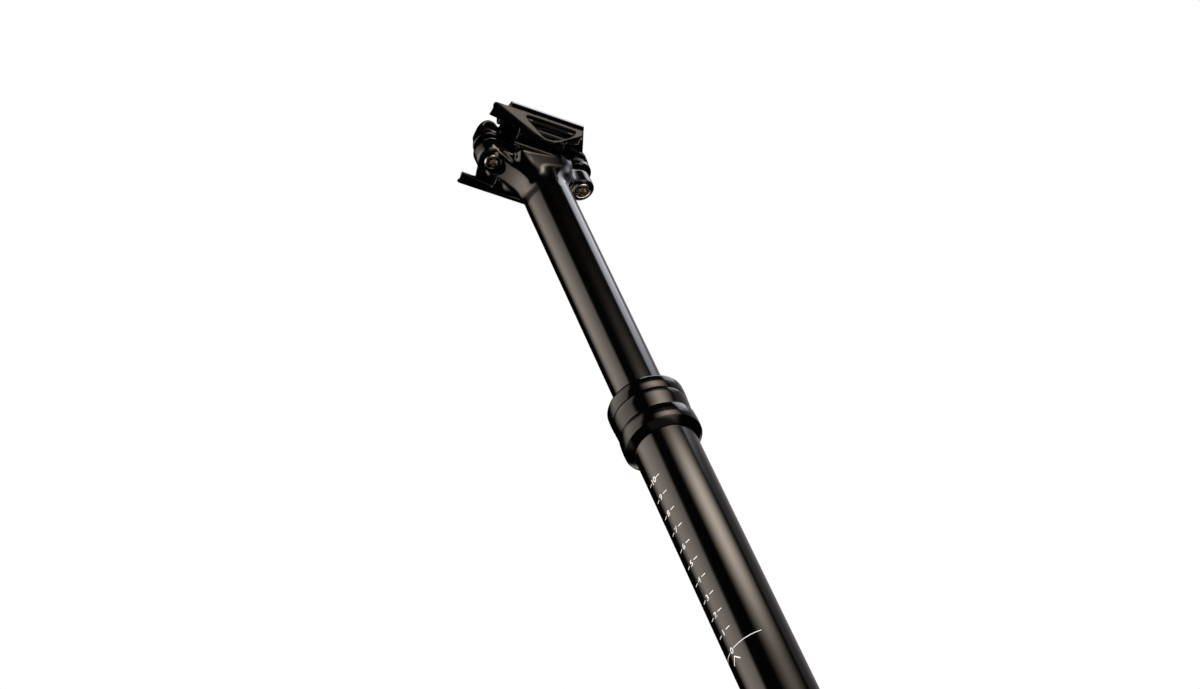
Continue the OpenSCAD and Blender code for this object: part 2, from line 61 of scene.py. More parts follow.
# %% Camera
IMAGE_WIDTH = 1200
FOCAL_PIXELS = 2431.904
SENSOR_WIDTH = 36
RIGHT = Vector((0.8612045, -0.3942579, -0.3207609))
DOWN = Vector((0.0728835, 0.7203712, -0.6897488))
FORWARD = Vector((0.5030058, 0.5706365, 0.6491218))
EYE = Vector((-0.597086, -0.666054, -0.567244))
NEAREST, FARTHEST = 0.05, 60
scene = bpy.context.scene
camera_data = bpy.data.cameras.new("camera")
camera_data.sensor_fit = "HORIZONTAL"
camera_data.sensor_width = SENSOR_WIDTH
camera_data.lens = FOCAL_PIXELS * SENSOR_WIDTH / IMAGE_WIDTH
camera_data.clip_start = NEAREST
camera_data.clip_end = FARTHEST
camera = bpy.data.objects.new("camera", camera_data)
turn = Matrix((RIGHT, -DOWN, -FORWARD)).transposed().to_4x4()
camera.matrix_world = Matrix.Translation(EYE) @ turn
scene.collection.objects.link(camera)
scene.camera = camera
scene.view_settings.view_transform = "Standard"
print("lens", round(camera_data.lens, 2), "mm")

# %% [markdown]
# Shader maths reads best as plain expressions, not as nodes that are made and linked one by one. A
# Wire holds one output socket, and adding or multiplying wires adds the Math nodes.


# %% Wires for shader maths
class Wire:
    def __init__(self, tree, socket):
        self.tree = tree
        self.socket = socket

    def math(self, operation, *values):
        made = self.tree.nodes.new("ShaderNodeMath")
        made.operation = operation
        for socket, value in zip(made.inputs, values):
            feed(self.tree, socket, value)
        return Wire(self.tree, made.outputs[0])

    def __add__(self, other):
        return self.math("ADD", self, other)

    def __sub__(self, other):
        return self.math("SUBTRACT", self, other)

    def __mul__(self, other):
        return self.math("MULTIPLY", self, other)

    __radd__ = __add__


def feed(tree, socket, value):
    if isinstance(value, Wire):
        tree.links.new(value.socket, socket)
    else:
        socket.default_value = value


print("a Wire makes a Math node for each +, - and *")

# %% [markdown]
# A Finish is one material. Its node method makes any node and feeds what it is given into the
# sockets of that name, and the other methods are the few nodes that the finishes share. The noise
# follows Object coordinates, so it stays with a piece that moves.


# %% Finishes as a class
class Finish:
    def __init__(self, name):
        self.material = bpy.data.materials.new(name)
        self.material.use_nodes = True
        self.tree = self.material.node_tree
        self.shader = self.tree.nodes["Principled BSDF"]
        self.place = self.node("ShaderNodeTexCoord", output="Object")

    def node(self, kind, output=0, **inputs):
        made = self.tree.nodes.new(kind)
        for key, value in inputs.items():
            feed(self.tree, made.inputs[key.replace("_", " ")], value)
        return Wire(self.tree, made.outputs[output])

    def stretched(self, scale):
        return self.node("ShaderNodeMapping", Vector=self.place, Scale=scale)

    def noise(self, scale, detail, place=None):
        return self.node("ShaderNodeTexNoise", Vector=place or self.place, Scale=scale, Detail=detail)

    def blend(self, share, low, high):
        made = self.tree.nodes.new("ShaderNodeMix")
        made.data_type = "RGBA"
        feed(self.tree, made.inputs["Factor"], share)
        feed(self.tree, made.inputs["A"], (*low, 1))
        feed(self.tree, made.inputs["B"], (*high, 1))
        return Wire(self.tree, made.outputs["Result"])

    def bump(self, height, strength, distance):
        return self.node("ShaderNodeBump", Height=height, Strength=strength, Distance=distance)

    def shade(self, **inputs):
        for key, value in inputs.items():
            feed(self.tree, self.shader.inputs[key.replace("_", " ")], value)
        return self.material


print("finish methods", [name for name in vars(Finish) if not name.startswith("__")])

# %% [markdown]
# The tubes and the collar are black anodised aluminium, polished before the dye, so they mirror the
# lamps in long soft bands. Fine lines from drawing run along the tubes and round the collar, the dye
# is a little uneven, and handling leaves the gloss slightly patchy. The forged head has the same dye
# over a blasted surface, so its bump is a fine grain with no direction.

# %% Black finishes
DEEP_DYE, THIN_DYE = (0.0004, 0.0004, 0.0004), (0.001, 0.0009, 0.0009)
PATCH_GLOSS, LINE_GLOSS = 0.04, 0.02
OXIDE_IOR = 1.5


def black_metal(name, roughness, line_scale, grain_scale, depth, mirror=0.5):
    finish = Finish(name)
    lines = finish.noise(scale=1.0, detail=2.0, place=finish.stretched(line_scale))
    patches = finish.noise(scale=60.0, detail=4.0)
    grain = finish.noise(scale=grain_scale, detail=2.0)
    tone = finish.blend(patches, DEEP_DYE, THIN_DYE)
    gloss = roughness + (patches - 0.5) * PATCH_GLOSS + (lines - 0.5) * LINE_GLOSS
    relief = finish.bump(lines * 0.5 + grain * 0.5, strength=0.12, distance=depth)
    return finish.shade(Base_Color=tone, Roughness=gloss, Normal=relief, IOR=OXIDE_IOR,
                        Specular_IOR_Level=mirror)


TUBE_BLACK = black_metal("tube_black_anodise", roughness=0.09, line_scale=(2200, 2200, 25),
                         grain_scale=5000, depth=0.000002)
COLLAR_BLACK = black_metal("collar_black_anodise", roughness=0.09, line_scale=(60, 60, 2600),
                           grain_scale=5000, depth=0.000002, mirror=0.3)
HEAD_BLACK = black_metal("head_black_anodise", roughness=0.11, line_scale=(900, 900, 900),
                         grain_scale=3500, depth=0.000003)
print("black finishes", TUBE_BLACK.name, COLLAR_BLACK.name, HEAD_BLACK.name)

# %% [markdown]
# Bolts and pins are plated steel, the barrel nuts blackened steel, the keys and pistons brass, and the
# cartridge and the foot bare aluminium. All are turned, and noise that is squeezed along the axis
# makes the marks of the tool and varies the gloss with them.

# %% Turned metals
TURNING_SCALE, TURNING_DEPTH = (90, 90, 4200), 0.000008
MARK_GLOSS, WORN_GLOSS = 0.3, 0.08


def turned_metal(name, dark, light, roughness, marking=0.35):
    finish = Finish(name)
    marks = finish.noise(scale=1.0, detail=2.0, place=finish.stretched(TURNING_SCALE))
    patches = finish.noise(scale=140.0, detail=4.0)
    tone = finish.blend(patches, dark, light)
    gloss = roughness + (marks - 0.5) * (MARK_GLOSS * marking) + (patches - 0.5) * WORN_GLOSS
    relief = finish.bump(marks, strength=marking, distance=TURNING_DEPTH)
    return finish.shade(Base_Color=tone, Metallic=1.0, Roughness=gloss, Normal=relief)


STEEL = turned_metal("plated_steel", (0.6, 0.56, 0.52), (0.78, 0.74, 0.7), 0.26, 0.06)
DARK_STEEL = turned_metal("black_oxide_steel", (0.02, 0.019, 0.018), (0.035, 0.033, 0.031), 0.17, 0.1)
BARE_METAL = turned_metal("turned_aluminium", (0.5, 0.5, 0.51), (0.66, 0.66, 0.67), 0.35)
BRASS = turned_metal("turned_brass", (0.5, 0.34, 0.12), (0.68, 0.5, 0.22), 0.33)
print("turned metals", STEEL.name, DARK_STEEL.name, BARE_METAL.name, BRASS.name)

# %% [markdown]
# The seals are rubber with a dull bloom, the bushings a filled polymer, and the printed scale white
# ink that is slightly thin in places. One recipe does for all three: an uneven tone, a gloss that
# follows it and a fine grain.

# %% Rubber, polymer and ink
BLOOM_GLOSS, GRAIN_DEPTH = 0.15, 0.00002


def soft_finish(name, dark, light, roughness, grain_scale):
    finish = Finish(name)
    bloom = finish.noise(scale=180.0, detail=4.0)
    grain = finish.noise(scale=grain_scale, detail=2.0)
    tone = finish.blend(bloom, dark, light)
    gloss = roughness + (bloom - 0.5) * BLOOM_GLOSS
    relief = finish.bump(grain, strength=0.4, distance=GRAIN_DEPTH)
    return finish.shade(Base_Color=tone, Roughness=gloss, Normal=relief)


RUBBER = soft_finish("seal_rubber", (0.012, 0.012, 0.012), (0.03, 0.03, 0.03), 0.6, 2600)
BUSHING = soft_finish("bushing_polymer", (0.3, 0.21, 0.08), (0.42, 0.31, 0.14), 0.5, 1800)
PRINT = soft_finish("scale_ink", (0.66, 0.65, 0.63), (0.86, 0.85, 0.83), 0.45, 3000)
print("soft finishes", RUBBER.name, BUSHING.name, PRINT.name)

# %% [markdown]
# The record of the part names a material slot for every solid. The solids that stay as they are, most
# of them inside the post, only need the finish of their slot.

# %% Finish of each solid
FINISHES = {
    "black_anodised": HEAD_BLACK,
    "seal_rubber": RUBBER,
    "bushing": BUSHING,
    "brass": BRASS,
    "steel": STEEL,
    "bare_aluminium": BARE_METAL,
}
SLOTS = {row["node"]: row["material_slot"] for row in frame["record"]["subparts"]}
for name, node in frame["nodes"].items():
    node.data.materials.clear()
    node.data.materials.append(FINISHES[SLOTS[name]])
print("finishes", len(bpy.data.materials))

# %% [markdown]
# Each new piece starts as a bmesh and ends as an object at the origin, with its place in its mesh. A
# finished piece has its material and smooth shading, and rides on the body of the solid that it
# replaces. Edges sharper than SHARP keep a crisp line.

# %% Pieces
BODIES = {n: body for body, nodes in frame["record"]["behaviour"]["bodies"].items() for n in nodes}
SHARP = radians(32)


def to_object(bm, name):
    mesh = bpy.data.meshes.new(name)
    bm.to_mesh(mesh)
    bm.free()
    made = bpy.data.objects.new(name, mesh)
    scene.collection.objects.link(made)
    return made


def finished(piece, finish, *nodes, body=None, sharp=SHARP):
    piece.data.materials.clear()
    piece.data.materials.append(finish)
    piece.data.shade_smooth()
    if sharp:
        piece.data.set_sharp_from_angle(angle=sharp)
    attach(piece, body or BODIES[nodes[0]])
    if nodes:
        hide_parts(*nodes)
    print(piece.name, len(piece.data.polygons), "faces")


# %% [markdown]
# Turned pieces are an outline of radius and height that is spun about the post's axis, as a lathe
# would cut it. A third number at a point of the outline rounds that corner before the spin, which is
# quicker and cleaner than a bevel on the finished ring.


# %% Turned solids
def round_corners(bm, corners, fillet, segments):
    bmesh.ops.bevel(bm, geom=corners, offset=fillet * MM, offset_type="OFFSET", segments=segments,
                    profile=0.5, affect="VERTICES", clamp_overlap=True, material=-1)


def revolve(outline, steps=144):
    bm = bmesh.new()
    corners = {}
    verts = []
    for radius, height, *fillet in outline:
        vert = bm.verts.new((radius * MM, 0, height * MM))
        verts.append(vert)
        if fillet:
            corners.setdefault(fillet[0], []).append(vert)
    bm.faces.new(verts)
    for fillet, chosen in corners.items():
        round_corners(bm, chosen, fillet, segments=5)
    bmesh.ops.delete(bm, geom=bm.faces[:], context="FACES_ONLY")
    bmesh.ops.spin(bm, geom=bm.verts[:] + bm.edges[:], cent=(0, 0, 0), axis=(0, 0, 1),
                   angle=2 * pi, steps=steps, use_merge=True)
    bmesh.ops.remove_doubles(bm, verts=bm.verts[:], dist=1e-7)
    bmesh.ops.recalc_face_normals(bm, faces=bm.faces[:])
    return bm


print("an outline has points of radius, height and, where it is rounded, a fillet in mm")

# %% [markdown]
# Rods, boxes and prisms are the rough solids that forgings and cutters are made of. Each is made at
# the origin and then moved to its place by a matrix, so that a cutter can lean as a bolt does.

# %% Rods, boxes and prisms
STAYS = Matrix.Identity(4)


def rod(bm, radius, low, high, place=STAYS, segments=96):
    made = bmesh.ops.create_cone(bm, cap_ends=True, segments=segments, radius1=radius * MM,
                                 radius2=radius * MM, depth=(high - low) * MM)["verts"]
    bmesh.ops.translate(bm, vec=(0, 0, (low + high) / 2 * MM), verts=made)
    bmesh.ops.transform(bm, matrix=place, verts=made)


def box(bm, low, high, place=STAYS):
    made = bmesh.ops.create_cube(bm, size=1)["verts"]
    low, high = Vector(low), Vector(high)
    bmesh.ops.scale(bm, vec=(high - low) * MM, verts=made)
    bmesh.ops.translate(bm, vec=(low + high) / 2 * MM, verts=made)
    bmesh.ops.transform(bm, matrix=place, verts=made)


def prism(bm, outline, near, far, place=STAYS):
    verts = [bm.verts.new((x * MM, near * MM, z * MM)) for x, z, *fillet in outline]
    bm.faces.new(verts)
    for vert, (x, z, *fillet) in zip(verts, outline):
        if fillet:
            round_corners(bm, [vert], fillet[0], segments=6)
    grown = bmesh.ops.extrude_face_region(bm, geom=bm.faces[:])["geom"]
    verts = [g for g in grown if isinstance(g, bmesh.types.BMVert)]
    bmesh.ops.translate(bm, vec=(0, (far - near) * MM, 0), verts=verts)
    bmesh.ops.recalc_face_normals(bm, faces=bm.faces[:])
    bmesh.ops.transform(bm, matrix=place, verts=bm.verts[:])


def one(maker, *args, name="solid"):
    bm = bmesh.new()
    maker(bm, *args)
    return to_object(bm, name)


print("solids by", rod.__name__, box.__name__, prism.__name__)

# %% [markdown]
# One solid carves, joins or limits another with the Boolean modifier. The modifier is applied at once
# and the cutter is thrown away, so only finished pieces stay in the scene.


# %% Carving
def apply_modifiers(piece):
    graph = bpy.context.evaluated_depsgraph_get()
    mesh = bpy.data.meshes.new_from_object(piece.evaluated_get(graph))
    old = piece.data
    piece.modifiers.clear()
    piece.data = mesh
    bpy.data.meshes.remove(old)


def carve(piece, cutter, operation="DIFFERENCE"):
    modifier = piece.modifiers.new("carve", "BOOLEAN")
    modifier.operation = operation
    modifier.solver = "EXACT"
    modifier.object = cutter
    apply_modifiers(piece)
    mesh = cutter.data
    bpy.data.objects.remove(cutter)
    bpy.data.meshes.remove(mesh)
    return piece


print("carving by", carve.__name__)

# %% [markdown]
# A voxel skin over a solid can be smoothed, which is how a forging gets its soft edges. Where only a
# part has to be softer, a vertex group holds the points there. The weight of a point is its depth
# inside each border of that part, as a share of the border's fade.

# %% Smoothing
EVEN_STEP = 0.5


def add_smoothing(piece, rounds):
    soften = piece.modifiers.new("soften", "SMOOTH")
    soften.factor = EVEN_STEP
    soften.iterations = rounds
    return soften


def skin(piece, size, rounds):
    remesh = piece.modifiers.new("skin", "REMESH")
    remesh.mode = "VOXEL"
    remesh.voxel_size = size * MM
    add_smoothing(piece, rounds)
    apply_modifiers(piece)


def inside(*borders):
    return min(depth / fade for depth, fade in borders)


def soften_where(piece, share_at, rounds):
    chosen = piece.vertex_groups.new(name="chosen")
    for vert in piece.data.vertices:
        share = min(1.0, share_at(vert.co / MM))
        if share > 0:
            chosen.add([vert.index], share, "REPLACE")
    add_smoothing(piece, rounds).vertex_group = chosen.name
    apply_modifiers(piece)
    piece.vertex_groups.clear()


print("smoothing moves a point", EVEN_STEP, "of the way to its neighbours' middle each round")

# %% [markdown]
# Some pieces start from their packed solid, whose mesh has doubled points along its edges. Others are
# one node with two pieces, such as the two bolts, and are gathered into one mesh.


# %% Copies and groups
def cad_mesh(node):
    bm = bmesh.new()
    bm.from_mesh(frame["nodes"][node].data)
    bmesh.ops.remove_doubles(bm, verts=bm.verts[:], dist=1e-6)
    return bm


def gather(pieces, name):
    whole = bmesh.new()
    for piece, place in pieces:
        mesh = piece.data
        mesh.transform(place)
        whole.from_mesh(mesh)
        bpy.data.objects.remove(piece)
        bpy.data.meshes.remove(mesh)
    return to_object(whole, name)


print("copies by", cad_mesh.__name__, "and groups by", gather.__name__)

# %% [markdown]
# The outer tube is a drawn tube with three keyways in its bore. A spun outline gives the smooth
# round wall that the long reflections need, and three slim blocks carve the keyways.

# %% Outer tube
TUBE_R, BORE_R, NECK_R = 15.45, 13.55, 15.15
TUBE_LOW, COLLAR_Z, TUBE_TOP = -90.0, 122.0, 138.0
KEYWAY_LOW, KEYWAY_TOP, KEYWAY_WIDTH, KEYWAY_R = -70.0, 113.0, 3.2, 14.45
KEYWAYS, BLOCK_DEPTH = 3, 5.0
tube = to_object(revolve([
    (BORE_R, TUBE_LOW, 0.4), (TUBE_R, TUBE_LOW, 0.6), (TUBE_R, COLLAR_Z), (NECK_R, COLLAR_Z),
    (NECK_R, TUBE_TOP), (BORE_R, TUBE_TOP),
], steps=192), "outer_tube_wall")
blocks = bmesh.new()
for i in range(KEYWAYS):
    low = (KEYWAY_R - BLOCK_DEPTH, -KEYWAY_WIDTH / 2, KEYWAY_LOW)
    high = (KEYWAY_R, KEYWAY_WIDTH / 2, KEYWAY_TOP)
    box(blocks, low, high, Matrix.Rotation(2 * pi * i / KEYWAYS, 4, "Z"))
carve(tube, to_object(blocks, "keyways"))
finished(tube, TUBE_BLACK, "outer_tube")

# %% [markdown]
# The collar at the tube's top is three turned rings. The base flares out from the tube and ends in a
# small step, the band above it is slimmer and widens upwards, and the cap is screwed on above a dark
# line. Each is a spun outline, because the light on it shows every change of slope.

# %% Collar
WAIST_Z, COLLAR_TOP, CAP_LOW, CAP_SHOULDER, CAP_TOP = 133.2, 143.2, 143.6, 149.0, 151.6
COLLAR_R, SPIGOT_R, SEAL_R, THROAT_R, SEAL_LOW = 19.2, 16.75, 14.95, 13.1, 139.5
LIP_R, LIP_GAP = 14.0, 0.3
base = to_object(revolve([
    (NECK_R, COLLAR_Z), (15.9, COLLAR_Z, 0.2), (19.25, 124.8, 0.3), (19.36, 127.9, 0.4),
    (19.3, 129.9, 0.3), (19.05, WAIST_Z, 0.12), (NECK_R, WAIST_Z),
]), "collar_base_ring")
finished(base, COLLAR_BLACK, "collar_base")
band = to_object(revolve([
    (NECK_R, WAIST_Z), (18.4, WAIST_Z, 0.1), (18.45, 134.6, 0.6), (18.9, 140.5, 0.8),
    (18.96, COLLAR_TOP, 0.15), (SPIGOT_R, COLLAR_TOP), (SPIGOT_R, SEAL_LOW), (THROAT_R, SEAL_LOW),
    (THROAT_R, TUBE_TOP), (NECK_R, TUBE_TOP),
]), "collar_band")
finished(band, COLLAR_BLACK, "collar")
cap = to_object(revolve([
    (SEAL_R, SEAL_LOW), (SPIGOT_R, SEAL_LOW), (SPIGOT_R, CAP_LOW), (COLLAR_R - 0.15, CAP_LOW, 0.15),
    (COLLAR_R, 147.6, 0.4), (19.1, 150.4, 0.25), (18.4, CAP_TOP, 0.2),
    (LIP_R + LIP_GAP, CAP_TOP, 0.2), (LIP_R + LIP_GAP, CAP_SHOULDER), (SEAL_R, CAP_SHOULDER),
]), "collar_cap_ring")
finished(cap, COLLAR_BLACK, "collar_cap")

# %% [markdown]
# The rubber wiper sits in the cap and keeps dirt off the shaft. Its lip stands a little out of the
# cap and tapers to the shaft, with a hair's breadth left between them so that the shaft can slide.

# %% Wiper
SHAFT_R, RUN = 12.5, 0.04
WIPER_LOW, LIP_TOP = 143.5, 152.2
wiper = to_object(revolve([
    (SHAFT_R + RUN, WIPER_LOW), (SEAL_R, WIPER_LOW), (SEAL_R, CAP_SHOULDER), (LIP_R, CAP_SHOULDER),
    (LIP_R, CAP_TOP, 0.3), (13.3, CAP_TOP + 0.1, 0.2), (12.9, LIP_TOP, 0.1), (SHAFT_R + RUN, LIP_TOP),
]), "wiper_lip")
finished(wiper, RUBBER, "wiper_seal")

# %% [markdown]
# Two bolts hold the saddle clamp on the head, the rear one high and the front one low. Both lean
# forward by the same angle, and each ends in a barrel nut that lies crosswise. Side -1 is the rear
# bolt and side 1 the front one, and in a bolt's own frame Z runs along it from its head.

# %% Places of the bolts
SIDES = (-1, 1)
BOLT_X, BOLT_LEAN, BOLT_REACH = 23.5, radians(8), 20.0
FACE_Z = {-1: 324.6, 1: 309.4}
CROSSWISE = Matrix.Rotation(radians(90), 4, "X")


def at_bolt(side):
    place = Matrix.Translation((side * BOLT_X * MM, 0, FACE_Z[side] * MM))
    return place @ Matrix.Rotation(BOLT_LEAN, 4, "Y")


def across(x, z):
    return Matrix.Translation((x * MM, 0, z * MM)) @ CROSSWISE


def across_nut(side):
    centre = at_bolt(side) @ Vector((0, 0, BOLT_REACH * MM))
    return across(centre.x / MM, centre.z / MM)


print("nuts at", [[round(x / MM, 1) for x in across_nut(side).translation] for side in SIDES], "mm")

# %% [markdown]
# An ear on the head holds each bolt. It is a bar that reaches out from the shaft, with a hollow curve
# below it and a round end. A box is carved by a rod and a box from below, and then kept only inside
# the ear's plan, which is a round end with a straight neck.

# %% Ears
EAR_TOP, EAR_NECK, EAR_SPARE = 10.0, 13.0, 2.0
EAR_LOW, HOLLOW_R, EAR_R = {-1: 323.9, 1: 308.6}, {-1: 20.0, 1: 8.0}, {-1: 8.25, 1: 6.85}
PAST_EAR, FAR = 20.0, 40.0


def ear(side):
    low, hollow_r, end_r = EAR_LOW[side], HOLLOW_R[side], EAR_R[side]
    reach = BOLT_X + end_r + EAR_SPARE
    top = FACE_Z[side] + EAR_TOP + reach * sin(BOLT_LEAN)
    x0, x1 = sorted((0, side * reach))
    made = one(box, (x0, -end_r, low - hollow_r), (x1, end_r, top), name="ear")
    hollow_x = side * (SHAFT_R + hollow_r)
    carve(made, one(rod, hollow_r, -PAST_EAR, PAST_EAR, across(hollow_x, low - hollow_r)))
    x0, x1 = sorted((hollow_x, side * (reach + FAR)))
    carve(made, one(box, (x0, -PAST_EAR, low - 2 * hollow_r), (x1, PAST_EAR, low)))
    upright = Matrix.Translation((side * BOLT_X * MM, 0, FACE_Z[side] * MM))
    plan = one(rod, end_r, -FAR, EAR_TOP, upright)
    x0, x1 = sorted((0, -side * FAR))
    neck = one(box, (x0, -EAR_NECK / 2, -FAR), (x1, EAR_NECK / 2, EAR_TOP), upright)
    return carve(made, carve(plan, neck, "UNION"), "INTERSECT")


print("ears reach", [round(BOLT_X + EAR_R[side], 1) for side in SIDES], "mm")

# %% [markdown]
# The shaft and the head are one forging. Its rough shape is a few solids: the round shaft, a block
# with flat sides and a pad under the clamp's seat, a flange and the two ears. A skin over them,
# smoothed many times and most at the neck, gives the soft runouts of a forging.

# %% Rough forging
BLOCK = [(11.5, 303.6), (-6.25, 307.6), (-16, 316.6), (-16, 326.6), (16.5, 326.6), (16.5, 316.6)]
PAD = [(-15, 318.1), (-11, 314.6), (7, 314.6), (11, 318.1), (11, 322.6), (-15, 322.6)]
FLANGE = [(-9, 313.5), (-26, 328.4), (-26, 334), (-9, 334)]
BLOCK_HALF, PAD_HALF, FLANGE_HALF = 12.0, 14.5, 8.6
STUB_LOW, STUB_TOP = 284.0, 318.1
TRIM_LOW, TRIM_HIGH = (-12, -10, -12), (-1, 10, 0)
SOFT_LOW, SOFT_TOP, SOFT_R = 294.0, 320.0, 19.0


def near_neck(point):
    from_axis = hypot(point.x, point.y)
    return inside((point.z - SOFT_LOW, 4), (SOFT_TOP - point.z, 5), (SOFT_R - from_axis, 3))


head = one(rod, SHAFT_R, STUB_LOW, STUB_TOP, name="shaft_and_head")
carve(head, one(prism, BLOCK, -BLOCK_HALF, BLOCK_HALF), "UNION")
carve(head, one(prism, PAD, -PAD_HALF, PAD_HALF), "UNION")
skin(head, size=0.6, rounds=110)
carve(head, one(prism, FLANGE, -FLANGE_HALF, FLANGE_HALF), "UNION")
for side in SIDES:
    carve(head, ear(side), "UNION")
carve(head, one(box, TRIM_LOW, TRIM_HIGH, at_bolt(-1)))
skin(head, size=0.5, rounds=36)
soften_where(head, near_neck, rounds=100)
print("forging", len(head.data.polygons), "faces")

# %% [markdown]
# The forging's foot has to run into the shaft without a seam. So its foot is cut off level, the
# points near the cut are set on the shaft's own radius, and the open edge is drawn down to the
# shaft's end, in to the bore and up again. The wall is then one skin from the head to the foot.

# %% Draw out the shaft
NECK_Z, BLEND_RISE, BLEND_LENGTH, NEAR_WALL = 293.6, 9.0, 7.0, 0.6
SHAFT_LOW, SHAFT_BORE_R, SHAFT_BORE_TOP = 61.3, 10.5, 291.6
bm = bmesh.new()
bm.from_mesh(head.data)
bmesh.ops.bisect_plane(bm, geom=bm.verts[:] + bm.edges[:] + bm.faces[:], dist=1e-6,
                       plane_co=(0, 0, NECK_Z * MM), plane_no=(0, 0, 1), clear_inner=True)
for vert in bm.verts:
    share = max(0.0, min(1.0, (NECK_Z + BLEND_RISE - vert.co.z / MM) / BLEND_LENGTH))
    flat = Vector((vert.co.x, vert.co.y, 0))
    if share > 0 and flat.length < (SHAFT_R + NEAR_WALL) * MM:
        vert.co += flat.normalized() * (SHAFT_R * MM - flat.length) * share
edges = [e for e in bm.edges if e.is_boundary]
for radius, height in ((SHAFT_R, SHAFT_LOW), (SHAFT_BORE_R, SHAFT_LOW), (SHAFT_BORE_R, SHAFT_BORE_TOP)):
    grown = bmesh.ops.extrude_edge_only(bm, edges=edges)["geom"]
    edges = [g for g in grown if isinstance(g, bmesh.types.BMEdge)]
    for vert in {v for e in edges for v in e.verts}:
        flat = Vector((vert.co.x, vert.co.y, 0)).normalized() * radius * MM
        vert.co = Vector((flat.x, flat.y, height * MM))
bmesh.ops.contextual_create(bm, geom=edges)
bmesh.ops.recalc_face_normals(bm, faces=bm.faces[:])
bm.to_mesh(head.data)
bm.free()
print("shaft and head", len(head.data.polygons), "faces")

# %% [markdown]
# After forging, the head is machined, and these cuts come after all smoothing so that their edges
# stay crisp: the curved seat that the clamp tips in, the room for the nuts' lobes as it tips, and a
# stepped hole for each bolt, wide below for the bolt's head and narrow above.

# %% Machine the head
SEAT_Z, SEAT_R, SEAT_SEGMENTS = 336.6, 19.0, 256
CLAMP_TILT, LOBE_R, LOBE_GAP = radians(5), 7.1, 0.3
LOBE_ROOM = LOBE_R + LOBE_GAP + BOLT_X * sin(CLAMP_TILT)
COUNTERBORE_R, WEB_LOW, BOLT_HOLE_R = 5.65, 5.7, 3.1
HOLE_LOW, HOLE_TOP = -30.0, 24.0


def stepped_hole():
    return to_object(revolve([
        (0, HOLE_LOW), (COUNTERBORE_R, HOLE_LOW), (COUNTERBORE_R, WEB_LOW), (BOLT_HOLE_R, WEB_LOW),
        (BOLT_HOLE_R, HOLE_TOP), (0, HOLE_TOP),
    ], steps=96), "hole")


carve(head, one(rod, SEAT_R, -FAR, FAR, across(0, SEAT_Z), SEAT_SEGMENTS))
room = bmesh.new()
for side in SIDES:
    rod(room, LOBE_ROOM, -FAR, FAR, across_nut(side))
carve(head, to_object(room, "room"))
carve(head, gather([(stepped_hole(), at_bolt(side)) for side in SIDES], "holes"))
finished(head, HEAD_BLACK, "shaft_head")

# %% [markdown]
# The lower half of the clamp is a forged cradle with a wing under each rail. It starts as a copy of
# its packed solid, which has the rail grooves. Each wing gets a pocket with a wider mouth, and its
# underside is cut on a slant, so that the wing thins towards the rear. A skin that is smoothed a
# little rounds the edges that catch the light, and the pockets' insides are smoothed once more.
# Here side -1 is the wing with negative Y, and the clamp's own frame is tipped as the rails are.

# %% Lower cradle
CLAMP_Z, CLAMP_TIP = 332.2, radians(19)
CLAMP = Matrix.Translation((0, 0, CLAMP_Z * MM)) @ Matrix.Rotation(CLAMP_TIP, 4, "Y")
MOUTH = [(-13.0, -3.2), (15.4, -3.2), (14.4, -5.2, 1), (6.0, -9.1, 3), (1.2, -9.1, 3)]
POCKET = [(-11.0, -4.0), (15.0, -4.0), (14.2, -5.2, 1), (6.0, -9.1, 3), (1.2, -9.1, 3)]
MOUTH_IN, POCKET_IN, PAST_WING = 24.2, 20.0, 31.0
SLANT_X, SLANT_Y, SLANT_Z = -28.0, 27.05, -2.45
SLANT_DOWN = (-0.163, 0.32, -0.933)
SLAB_HALF, SLAB_DEPTH = 60.0, 20.0
WING_IN, WING_REAR, SLANT_END = 17.0, -32.0, 3.0
RIM_Y, ROOF_Z, POCKET_REAR, POCKET_FRONT = 26.2, -3.2, -11.0, 15.0


def under_wing(side):
    x, y, z = SLANT_DOWN
    lean = Vector((x, y * side, z)).to_track_quat("Z", "X").to_matrix().to_4x4()
    place = Matrix.Translation(Vector((SLANT_X, SLANT_Y * side, SLANT_Z)) * MM) @ lean
    slab = one(box, (-SLAB_HALF, -SLAB_HALF, 0), (SLAB_HALF, SLAB_HALF, SLAB_DEPTH), CLAMP @ place)
    y0, y1 = sorted((WING_IN * side, PAST_WING * side))
    limit = one(box, (WING_REAR, y0, -SLAB_DEPTH), (SLANT_END, y1, 0), CLAMP)
    return carve(slab, limit, "INTERSECT")


def in_pocket(point):
    spot = CLAMP.inverted() @ (point * MM) / MM
    sideways = inside((RIM_Y - abs(spot.y), 1.5), (abs(spot.y) - WING_IN, 1))
    lengthways = inside((spot.x - POCKET_REAR, 2), (POCKET_FRONT - spot.x, 2))
    return min(sideways, lengthways, (ROOF_Z - spot.z) / 1.5)


cradle = to_object(cad_mesh("lower_cradle"), "cradle")
for side in SIDES:
    carve(cradle, one(prism, MOUTH, MOUTH_IN * side, PAST_WING * side, CLAMP))
    carve(cradle, one(prism, POCKET, POCKET_IN * side, PAST_WING * side, CLAMP))
    carve(cradle, under_wing(side))
skin(cradle, size=0.3, rounds=12)
soften_where(cradle, in_pocket, rounds=30)
finished(cradle, HEAD_BLACK, "lower_cradle", sharp=None)

# %% [markdown]
# The upper half is a plate with a round boss over each barrel nut. A copy of the packed solid gets
# outer edges that lean inwards, and a dome is joined to each boss. The skin is smoothed a little all
# over and much more near the domes, so that they run softly into the plate. The bores for the nuts
# and the bolts are cut last.

